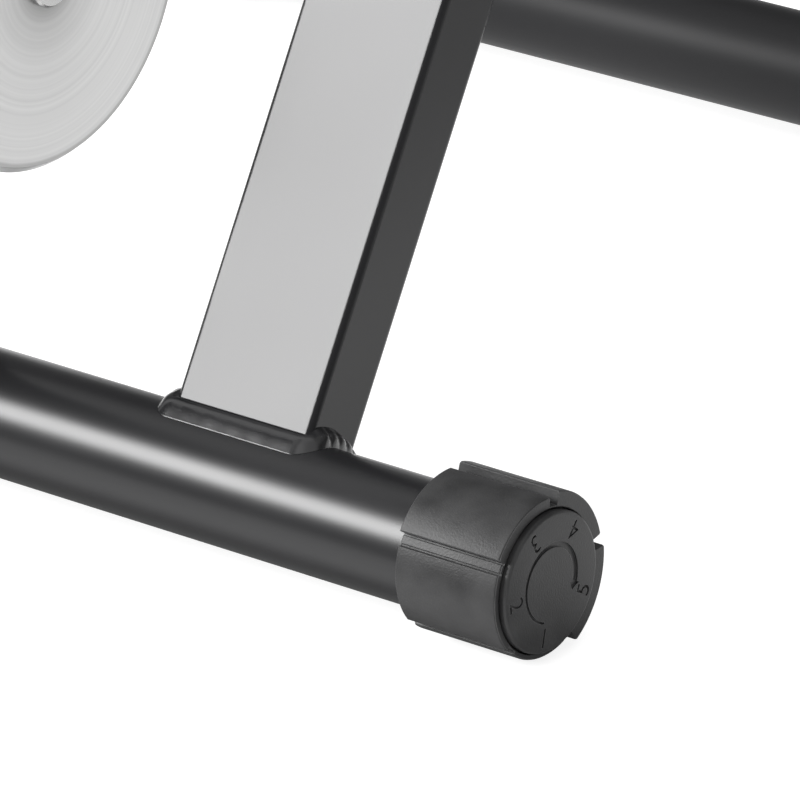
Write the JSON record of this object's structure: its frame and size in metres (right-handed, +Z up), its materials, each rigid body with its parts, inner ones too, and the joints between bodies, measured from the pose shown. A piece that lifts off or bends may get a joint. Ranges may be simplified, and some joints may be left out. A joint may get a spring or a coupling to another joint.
{
  "type": "wheel-on bike trainer",
  "caption": "Folding A-frame bike trainer with levelling feet, axle clamp, roller, flywheel and fluid brake.",
  "frame": {"origin": "on the floor, under the middle of the trainer's box", "axes": "+Y towards the bicycle's front wheel, +X to the bicycle's right, +Z up"},
  "size_m": [0.548, 0.5924, 0.4424],
  "materials": {
    "frame_paint": "satin black powder coat",
    "foot_rubber": "moulded matte rubber",
    "turned_steel": "turned bright steel",
    "zinc_steel": "zinc-plated steel",
    "cast_aluminium": "cast and blasted",
    "knob_plastic": "fine-grained moulding",
    "grip_rubber": "dipped soft grip",
    "nylon": "natural nylon",
    "spring_steel": "spring wire"
  },
  "bodies": {
    "root": {"rear_crossbar": "frame_paint", "rear_leg_left": "frame_paint", "rear_leg_right": "frame_paint", "leg_weld_left": "frame_paint", "leg_weld_right": "frame_paint", "clamp_sleeve_left": "frame_paint", "clamp_sleeve_right": "frame_paint", "hinge_ears_left": "frame_paint", "hinge_ears_right": "frame_paint", "hinge_bolts": "zinc_steel", "hinge_nuts": "zinc_steel", "hinge_washers": "nylon", "base_bracket": "frame_paint", "swing_pivot_bolt": "zinc_steel", "swing_pivot_nut": "zinc_steel", "tension_screw": "zinc_steel", "tension_spring": "spring_steel", "spindle_bush": "turned_steel", "plunger_bush": "nylon", "clamp_housing": "frame_paint", "lever_pin": "zinc_steel", "clamp_spring": "spring_steel"},
    "front_frame": {"front_crossbar": "frame_paint", "front_leg_left": "frame_paint", "front_leg_right": "frame_paint", "front_leg_welds": "frame_paint", "front_foot_cap_left": "foot_rubber", "front_foot_cap_right": "foot_rubber", "hinge_bushes": "turned_steel"},
    "foot_left": {"rear_foot_cap_left": "foot_rubber"},
    "foot_right": {"rear_foot_cap_right": "foot_rubber"},
    "cup_right": {"axle_cup_right": "turned_steel"},
    "adjuster": {"adjuster_screw": "turned_steel", "adjuster_knob": "knob_plastic"},
    "locking": {"lock_ring": "zinc_steel"},
    "plunger": {"clamp_plunger": "turned_steel", "axle_cup_left": "turned_steel"},
    "lever": {"clamp_lever": "zinc_steel", "lever_grip": "grip_rubber"},
    "resistance_unit": {"swing_bracket": "frame_paint", "bearing_left": "turned_steel", "bearing_right": "turned_steel", "fluid_housing": "cast_aluminium", "fluid_cover": "cast_aluminium", "cover_screws": "zinc_steel", "housing_screws": "zinc_steel", "shaft_seal": "foot_rubber"},
    "roller_assembly": {"roller": "turned_steel", "roller_shaft": "turned_steel", "flywheel": "turned_steel", "impeller": "cast_aluminium"},
    "tension_slide": {"tension_washer": "zinc_steel"},
    "tension_hand": {"tension_knob": "knob_plastic"}
  },
  "joints": [
    {"name": "front_fold", "type": "hinge", "parent": "root", "child": "front_frame", "pos_m": [0, 0.02839, 0.30099], "axis": [-1, 0, 0], "range_deg": [0, 66]},
    {"name": "foot_left_turn", "type": "hinge", "parent": "root", "child": "foot_left", "pos_m": [-0.24, -0.16127, 0.02643], "axis": [-1, 0, 0], "range_deg": [0, 288]},
    {"name": "foot_right_turn", "type": "hinge", "parent": "root", "child": "foot_right", "pos_m": [0.24, -0.16127, 0.02643], "axis": [1, 0, 0], "range_deg": [0, 288]},
    {"name": "cup_right_slide", "type": "slide", "parent": "root", "child": "cup_right", "axis": [1, 0, 0], "range_m": [0, 0.0168]},
    {"name": "adjuster_turn", "type": "hinge", "parent": "cup_right", "child": "adjuster", "pos_m": [0.15, 0.05423, 0.41543], "axis": [1, 0, 0], "range_deg": [0, 2415]},
    {"name": "lock_ring_turn", "type": "hinge", "parent": "root", "child": "locking", "pos_m": [0.163, 0.05423, 0.41543], "axis": [1, 0, 0], "range_deg": [0, 180]},
    {"name": "plunger_slide", "type": "slide", "parent": "root", "child": "plunger", "axis": [-1, 0, 0], "range_m": [0, 0.0168], "deforming": ["clamp_spring"]},
    {"name": "lever_turn", "type": "hinge", "parent": "root", "child": "lever", "pos_m": [-0.1883, 0.05423, 0.41543], "axis": [0, 1, 0], "range_deg": [0, 90]},
    {"name": "unit_swing", "type": "hinge", "parent": "root", "child": "resistance_unit", "pos_m": [0, -0.21927, 0.07443], "axis": [1, 0, 0], "range_deg": [0, 10], "deforming": ["tension_spring"]},
    {"name": "roller_spin", "type": "hinge", "parent": "resistance_unit", "child": "roller_assembly", "pos_m": [0, -0.23597, 0.21096], "axis": [1, 0, 0], "continuous": true},
    {"name": "tension_knob_slide", "type": "slide", "parent": "root", "child": "tension_slide", "axis": [0, -1, 0], "range_m": [0, 0.0098]},
    {"name": "tension_knob_turn", "type": "hinge", "parent": "tension_slide", "child": "tension_hand", "pos_m": [0, -0.24127, 0.11761], "axis": [0, -1, 0], "range_deg": [0, 2820]}
  ],
  "couplings": [
    {"joint": "cup_right_slide", "follows": "adjuster_turn", "m_per_rad": 0.00039789},
    {"joint": "plunger_slide", "follows": "lever_turn", "m_per_rad": 0.010695},
    {"joint": "tension_knob_slide", "follows": "unit_swing", "m_per_rad": 0.056082},
    {"joint": "tension_knob_turn", "follows": "unit_swing", "ratio": 281.9}
  ]
}
